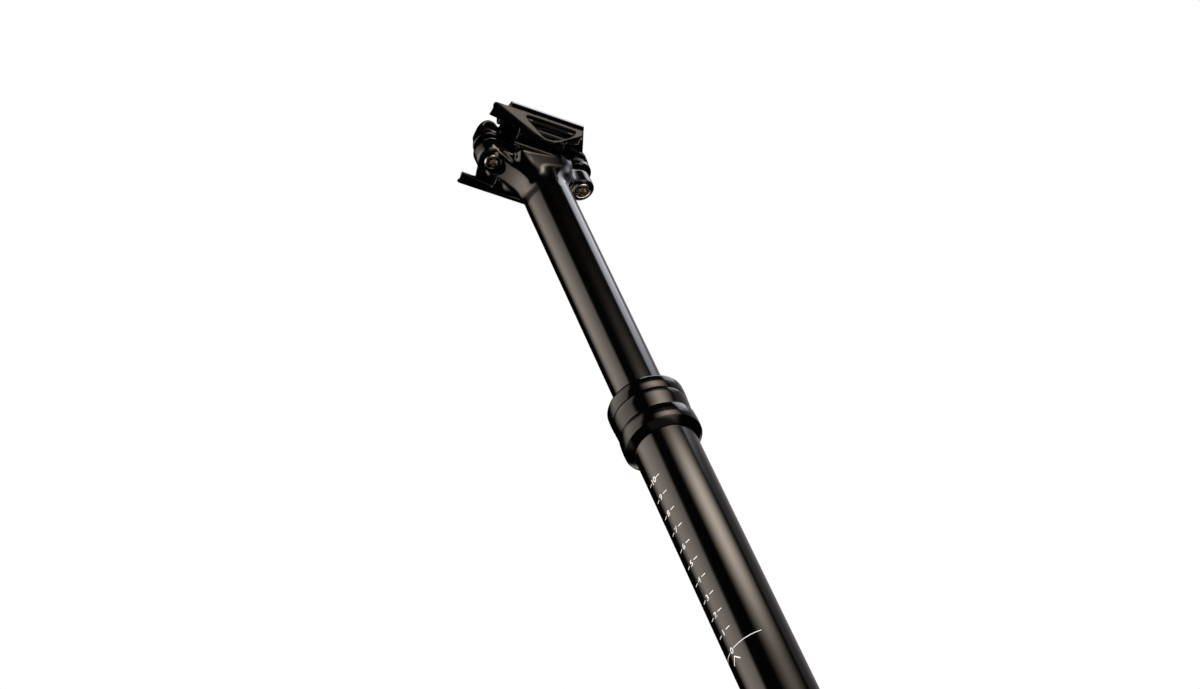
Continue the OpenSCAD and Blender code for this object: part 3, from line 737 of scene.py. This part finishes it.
# %% Upper clamp
PLATE_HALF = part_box("upper_clamp")[1].y / MM
EDGE_Z, EDGE_LEAN, EDGE_DEPTH, EDGE_HEIGHT = 1.0, radians(17), 6.0, 8.0
DOME_R, DOME_LOW, DOME_TOP = {-1: 8.5, 1: 7.8}, 13.4, 27.2
BOSS_R, BOSS_LOW, BOSS_FADE = 12.5, 13.5, 3.0
NUT_ROOM_R, NUT_ROOM_HALF = 4.55, 12.0
BOLT_ROOM_R, BOLT_ROOM_LOW = 3.75, 8.0
FROM_BOLT = [at_bolt(side).inverted() for side in SIDES]


def beside_plate(side):
    lean = Matrix.Rotation(side * EDGE_LEAN, 4, "X")
    place = Matrix.Translation(Vector((0, side * PLATE_HALF, EDGE_Z)) * MM) @ lean
    y0, y1 = sorted((0, side * EDGE_DEPTH))
    return one(box, (-FAR, y0, 0), (FAR, y1, EDGE_HEIGHT), CLAMP @ place)


def dome(side):
    foot_r = DOME_R[side]
    bm = revolve([
        (0, DOME_LOW), (foot_r, DOME_LOW, 0.6), (foot_r - 0.2, 15.8, 2), (7.3, 20, 4), (5.6, 24, 3),
        (3, 26.4, 2), (0, DOME_TOP),
    ], steps=72)
    bmesh.ops.transform(bm, matrix=at_bolt(side), verts=bm.verts[:])
    return to_object(bm, "dome")


def near_boss(point):
    spots = [inward @ (point * MM) / MM for inward in FROM_BOLT]
    return max(inside((BOSS_R - hypot(s.x, s.y), BOSS_FADE), (s.z - BOSS_LOW, BOSS_FADE)) for s in spots)


clamp = to_object(cad_mesh("upper_clamp"), "top_clamp")
for side in SIDES:
    carve(clamp, beside_plate(side))
for side in SIDES:
    carve(clamp, dome(side), "UNION")
skin(clamp, size=0.33, rounds=14)
soften_where(clamp, near_boss, rounds=90)
for side in SIDES:
    carve(clamp, one(rod, NUT_ROOM_R, -NUT_ROOM_HALF, NUT_ROOM_HALF, across_nut(side)))
    carve(clamp, one(rod, BOLT_ROOM_R, BOLT_ROOM_LOW, FAR, at_bolt(side)))
finished(clamp, HEAD_BLACK, "upper_clamp")
print("half the plate's width", round(PLATE_HALF, 2), "mm")

# %% [markdown]
# The bolts are socket cap screws with a rounded head. Each is spun, its six-sided socket is carved,
# and it is set in its place. A six-sided rod makes the socket, whose size is given across its flats.

# %% Bolts
BOLT_R, BOLT_END = 2.5, 27.0
BOLT_HEAD_R, BOLT_HEAD_LOW, BOLT_HEAD_TOP = 4.9, -0.7, 4.5
SOCKET_FLATS, SOCKET_LOW, SOCKET_TOP = 4.0, -2.0, 3.6


def cap_screw():
    made = to_object(revolve([
        (0, BOLT_HEAD_LOW), (BOLT_HEAD_R, BOLT_HEAD_LOW, 1.4), (BOLT_HEAD_R, BOLT_HEAD_TOP, 0.3),
        (BOLT_R, BOLT_HEAD_TOP), (BOLT_R, BOLT_END, 0.5), (0, BOLT_END),
    ], steps=96), "screw")
    socket_r = SOCKET_FLATS / 2 / cos(radians(30))
    socket = bmesh.new()
    rod(socket, socket_r, SOCKET_LOW, SOCKET_TOP, segments=6)
    return carve(made, to_object(socket, "socket"))


finished(gather([(cap_screw(), at_bolt(side)) for side in SIDES], "cap_screws"), STEEL, "clamp_bolts")

# %% [markdown]
# A washer under each bolt's head fills the room up to the web of the ear. The barrel nuts are short
# round bars that lie across the bolts, with a cross hole that the bolt goes through.

# %% Washers and barrel nuts
WASHER_BORE_R, WASHER_R = 2.7, 5.25
NUT_R, NUT_HALF = 4.5, 5.0


def washer():
    return to_object(revolve([
        (WASHER_BORE_R, BOLT_HEAD_TOP), (WASHER_R, BOLT_HEAD_TOP, 0.25), (WASHER_R, WEB_LOW, 0.2),
        (WASHER_BORE_R, WEB_LOW),
    ], steps=96), "washer")


def barrel_nut(side, name):
    bar = revolve([
        (0, -NUT_HALF), (NUT_R, -NUT_HALF, 0.4), (NUT_R, NUT_HALF, 0.4), (0, NUT_HALF),
    ], steps=96)
    bmesh.ops.transform(bar, matrix=across_nut(side), verts=bar.verts[:])
    return carve(to_object(bar, name), one(rod, BOLT_HOLE_R, 0, FAR, at_bolt(side), 64))


finished(gather([(washer(), at_bolt(side)) for side in SIDES], "screw_washers"), STEEL, "bolt_washers")
finished(barrel_nut(-1, "rear_barrel_nut"), DARK_STEEL, "rear_nut")
finished(barrel_nut(1, "front_barrel_nut"), DARK_STEEL, "front_nut")

# %% [markdown]
# Under the tube are the plug that closes it, the release lever in the plug's fork, and the lever's
# pin. They are milled, so a copy of each packed solid only needs its sharp edges broken. Flat faces
# are joined first, so that the bevel meets whole edges and not the mesh's triangles.

# %% Foot of the post
NEARLY_FLAT, SHARP_EDGE = radians(0.6), radians(40)


def broken_edges(node, name, width):
    bm = cad_mesh(node)
    bmesh.ops.dissolve_limit(bm, angle_limit=NEARLY_FLAT, verts=bm.verts[:], edges=bm.edges[:])
    edges = [e for e in bm.edges if len(e.link_faces) == 2 and e.calc_face_angle() > SHARP_EDGE]
    bmesh.ops.bevel(bm, geom=edges, offset=width * MM, offset_type="OFFSET", segments=3, profile=0.5,
                    affect="EDGES", clamp_overlap=True, material=-1)
    return to_object(bm, name)


finished(broken_edges("base_plug", "plug_and_fork", width=0.4), BARE_METAL, "base_plug")
finished(broken_edges("release_lever", "lever_arm", width=0.3), BARE_METAL, "release_lever")
finished(broken_edges("lever_pivot_pin", "lever_pin", width=0.2), STEEL, "lever_pivot_pin")

# %% [markdown]
# The scale on the back of the outer tube is printed in white ink, which lies a hair above the tube. A
# level line is an upright edge that is spun a little way round the tube. A slanted line is a strip of
# small faces, whose points are bent from a flat plan onto the tube.

# %% Lines of ink
INK_R = TUBE_R + 0.015
REAR = 180.0
FEWEST_STEPS, STRIP_STEPS = 4, 10


def dash(bm, start, end, middle, width):
    verts = [bm.verts.new((INK_R * MM, 0, (middle + half * width / 2) * MM)) for half in (-1, 1)]
    edge = bm.edges.new(verts)
    bmesh.ops.rotate(bm, cent=(0, 0, 0), matrix=Matrix.Rotation(radians(start), 3, "Z"), verts=verts)
    bmesh.ops.spin(bm, geom=verts + [edge], cent=(0, 0, 0), axis=(0, 0, 1),
                   angle=radians(end - start), steps=max(FEWEST_STEPS, int(abs(end - start))))


def on_tube(x, y):
    turn = radians(REAR) + x / INK_R
    return Vector((cos(turn), sin(turn), 0)) * INK_R * MM + Vector((0, 0, y * MM))


def slanted(bm, start, end, width):
    a, b = Vector(start), Vector(end)
    half = Vector((a.y - b.y, b.x - a.x)).normalized() * width / 2
    points = [a.lerp(b, i / STRIP_STEPS) for i in range(STRIP_STEPS + 1)]
    rows = [[bm.verts.new(on_tube(*(point + half * k))) for k in (-1, 1)] for point in points]
    for (p, q), (r, t) in zip(rows, rows[1:]):
        bm.faces.new((p, q, t, r))


print("ink at", round(INK_R, 3), "mm from the axis")

# %% [markdown]
# The numbers are text objects made into mesh, so that their points can be bent onto the tube. The
# letters of the plain font are grown a little, as printed figures are heavier than drawn ones.

# %% Numbers
DIGIT_HEIGHT, DIGIT_SHARE, STROKE_GROWTH = 3.0, 0.72, 0.05


def number(bm, text, middle):
    curve = bpy.data.curves.new("number", "FONT")
    curve.body = text
    curve.align_x = "CENTER"
    curve.size = DIGIT_HEIGHT / DIGIT_SHARE
    curve.offset = STROKE_GROWTH
    made = bpy.data.objects.new("number", curve)
    scene.collection.objects.link(made)
    graph = bpy.context.evaluated_depsgraph_get()
    mesh = bpy.data.meshes.new_from_object(made.evaluated_get(graph))
    for vert in mesh.vertices:
        vert.co = on_tube(vert.co.x, vert.co.y + middle - DIGIT_HEIGHT / 2)
    bm.from_mesh(mesh)
    bpy.data.objects.remove(made)
    bpy.data.curves.remove(curve)
    bpy.data.meshes.remove(mesh)


print("figures", DIGIT_HEIGHT, "mm high")

# %% [markdown]
# Each mark of the scale is a pair of short dashes with a number between them, 10 mm apart. A long arc
# at zero shows how far the post has to go into the frame, with a small arrowhead under it.

# %% Printed scale
MARKS, MARK_STEP, LINE_WIDTH = 10, 10, 0.4
DASH_STARTS, DASH_SPAN = (-17.5, 8.0), 9.5
ARC_SPANS, ARC_WIDTH = ((145, 174), (186, 242)), 0.34
ARROW_TOP, ARROW_LOW, ARROW_HALF, ARROW_LINE = -3.2, -6.4, 2.9, 0.5
ink = bmesh.new()
for mark in range(1, MARKS + 1):
    for start in DASH_STARTS:
        dash(ink, REAR + start, REAR + start + DASH_SPAN, MARK_STEP * mark, LINE_WIDTH)
    number(ink, str(mark), MARK_STEP * mark)
for start, end in ARC_SPANS:
    dash(ink, start, end, 0, ARC_WIDTH)
number(ink, "0", 0)
for side in SIDES:
    slanted(ink, (0, ARROW_TOP), (side * ARROW_HALF, ARROW_LOW), ARROW_LINE)
bmesh.ops.recalc_face_normals(ink, faces=ink.faces[:])
finished(to_object(ink, "scale_print"), PRINT, body="outer", sharp=None)

# %% [markdown]
# A black gloss object shows its lamps more than its own colour. So the set is a dark shell with large
# soft boxes on it: a warm one on the left, an amber one on the right, and a cool one above in front.
# Each is a range of bearing and height in degrees, seen from the post, and both of its ends rise and
# fall softly. The front one counts its bearing from another start, as a range can't pass from 359 to 0.


# %% Soft boxes
def rise(value, start, end):
    share = max(0.0, min(1.0, (value - start) / (end - start)))
    return share * share * (3 - 2 * share)


def window(value, low, high, edge):
    return rise(value, low - edge, low + edge) * (1 - rise(value, high - edge, high + edge))


def left_box(bearing, height):
    slant = (height - 38) * 0.8
    sideways = rise(bearing, 110, 150) * (1 - rise(bearing, 195 + slant, 207 + slant))
    upright = window(height, -36, 48, 3) * (0.5 + 0.5 * rise(height, -30, 25))
    return sideways * upright * (3.0 - 1.2 * rise(bearing, 160, 205))


def right_box(bearing, height):
    sideways = rise(bearing, 232, 275) * (1 - rise(bearing, 268, 316)) * rise(height, -55, -45)
    upright = 0.2 + 0.8 * rise(height, 23, 31) + 0.2 * (1 - rise(height, -16, -6))
    return sideways * upright * (1 - rise(height, 33.5, 39.5) + 0.035 * (1 - rise(height, 41, 44)))


def front_box(turned, height):
    main = window(turned, 166, 208, 5) * rise(height, 34 + (turned - 176) * 0.16, 44)
    return main + 0.8 * window(turned, 208, 226, 4) * rise(height, 47, 52)


print("left box in its middle", round(left_box(170, 20), 2))

# %% [markdown]
# A faint haze and two dim fills light the edges between the boxes. The glow of a point on the shell is
# the sum of all of them, each with its own colour and strength.

# %% Glow of the shell
WARM, AMBER = Vector((1.0, 0.87, 0.76)), Vector((1.0, 0.85, 0.71))
COOL, LILAC = Vector((0.9, 0.92, 1.0)), Vector((1.0, 0.91, 0.95))
RIGHT_STRENGTH, FRONT_STRENGTH = 9.0, 3.3
OTHER_START = 150


def faint_haze(turned, height):
    strength = 0.25 + 0.15 * rise(turned, 185, 220)
    return strength * window(turned, 170, 255, 8) * window(height, 10, 60, 8)


def dim_fills(bearing, height):
    ahead = 2.0 * window(bearing, 30, 75, 8) * window(height, -24, 10, 8)
    return ahead + 0.22 * window(bearing, 205, 325, 10) * rise(-height, 40, 50)


def glow(bearing, height):
    turned = (bearing - OTHER_START) % 360
    warm = WARM * (left_box(bearing, height) + dim_fills(bearing, height))
    amber = AMBER * right_box(bearing, height) * RIGHT_STRENGTH
    cool = COOL * front_box(turned, height) * FRONT_STRENGTH
    return warm + amber + cool + LILAC * faint_haze(turned, height)


print("glow on the left", [round(x, 2) for x in glow(170, 20)])

# %% [markdown]
# The shell is a ball around the post. Each of its points holds its glow as a colour attribute, which
# an Emission shader sends inwards. Only reflections see it: the camera and the shadows don't.

# %% Studio shell
SHELL_R, SHELL_CENTRE = 2.5, Vector((0, 0, 0.13))
ball = bmesh.new()
bmesh.ops.create_uvsphere(ball, u_segments=180, v_segments=90, radius=SHELL_R)
layer = ball.verts.layers.float_color.new("glow")
for vert in ball.verts:
    bearing = degrees(atan2(vert.co.y, vert.co.x)) % 360
    height = degrees(atan2(vert.co.z, hypot(vert.co.x, vert.co.y)))
    vert[layer] = (*glow(bearing, height), 1)
bmesh.ops.translate(ball, vec=SHELL_CENTRE, verts=ball.verts[:])
bmesh.ops.reverse_faces(ball, faces=ball.faces[:])
shell = to_object(ball, "studio_shell")
paint = bpy.data.materials.new("studio_shell")
paint.use_nodes = True
tree = paint.node_tree
tree.nodes.clear()
light = tree.nodes.new("ShaderNodeEmission")
attribute = tree.nodes.new("ShaderNodeAttribute")
attribute.attribute_name = "glow"
tree.links.new(attribute.outputs["Color"], light.inputs["Color"])
tree.links.new(light.outputs[0], tree.nodes.new("ShaderNodeOutputMaterial").inputs["Surface"])
paint.cycles.emission_sampling = "NONE"
shell.data.materials.append(paint)
shell.visible_camera = shell.visible_diffuse = shell.visible_shadow = False
shell.visible_transmission = shell.visible_volume_scatter = False
print("shell", len(shell.data.vertices), "points")

# %% [markdown]
# Two area lamps give plain light to the printed marks. They are hidden from reflections, because the
# shell already makes all that the black gloss shows. Each has a bearing and a height, as the boxes do.

# %% Lamps
LAMPS = {"left_lamp": (165, 10), "right_lamp": (255, 0)}
LAMP_DISTANCE, LAMP_SIZE, LAMP_POWER = 1.8, 1.2, 30


def lamp(name, bearing, height):
    data = bpy.data.lights.new(name, "AREA")
    data.shape = "SQUARE"
    data.size = LAMP_SIZE
    data.energy = LAMP_POWER
    made = bpy.data.objects.new(name, data)
    flat = cos(radians(height))
    aim = Vector((cos(radians(bearing)) * flat, sin(radians(bearing)) * flat, sin(radians(height))))
    turn = aim.to_track_quat("Z", "Y").to_matrix().to_4x4()
    made.matrix_world = Matrix.Translation(SHELL_CENTRE + aim * LAMP_DISTANCE) @ turn
    made.visible_glossy = False
    scene.collection.objects.link(made)


for name, (bearing, height) in LAMPS.items():
    lamp(name, bearing, height)
print("lamps", len(LAMPS))

# %% [markdown]
# The backdrop is a white world and the floor a pale sheet far below the post. Both look pale to the
# camera, but light the post less than they look, which the Light Path node makes possible.

# %% Backdrop and floor
WORLD_DIM, FLOOR_DIM = 0.5, 0.0
FLOOR_Z, FLOOR_HALF, FLOOR_STRENGTH = -2.6, 25, 0.4


def white_to_the_eye(tree, socket, dim):
    rays = tree.nodes.new("ShaderNodeLightPath")
    seen = Wire(tree, rays.outputs["Is Camera Ray"])
    for other in ("Is Glossy Ray", "Is Transmission Ray"):
        seen = seen.math("MAXIMUM", seen, Wire(tree, rays.outputs[other]))
    feed(tree, socket, dim + seen * (1 - dim))


world = bpy.data.worlds.new("backdrop")
scene.world = world
world.use_nodes = True
background = world.node_tree.nodes["Background"]
background.inputs["Color"].default_value = (1, 1, 1, 1)
white_to_the_eye(world.node_tree, background.inputs["Strength"], WORLD_DIM)
ground = bmesh.new()
bmesh.ops.create_grid(ground, x_segments=2, y_segments=2, size=FLOOR_HALF)
bmesh.ops.translate(ground, vec=(0, 0, FLOOR_Z), verts=ground.verts[:])
floor = to_object(ground, "floor")
pale = Finish("pale_floor")
pale.shade(Base_Color=(0.85, 0.85, 0.85, 1), Roughness=0.8, Emission_Strength=FLOOR_STRENGTH)
white_to_the_eye(pale.tree, pale.shader.inputs["Emission Color"], FLOOR_DIM)
floor.data.materials.append(pale.material)
print("floor at", FLOOR_Z, "m")
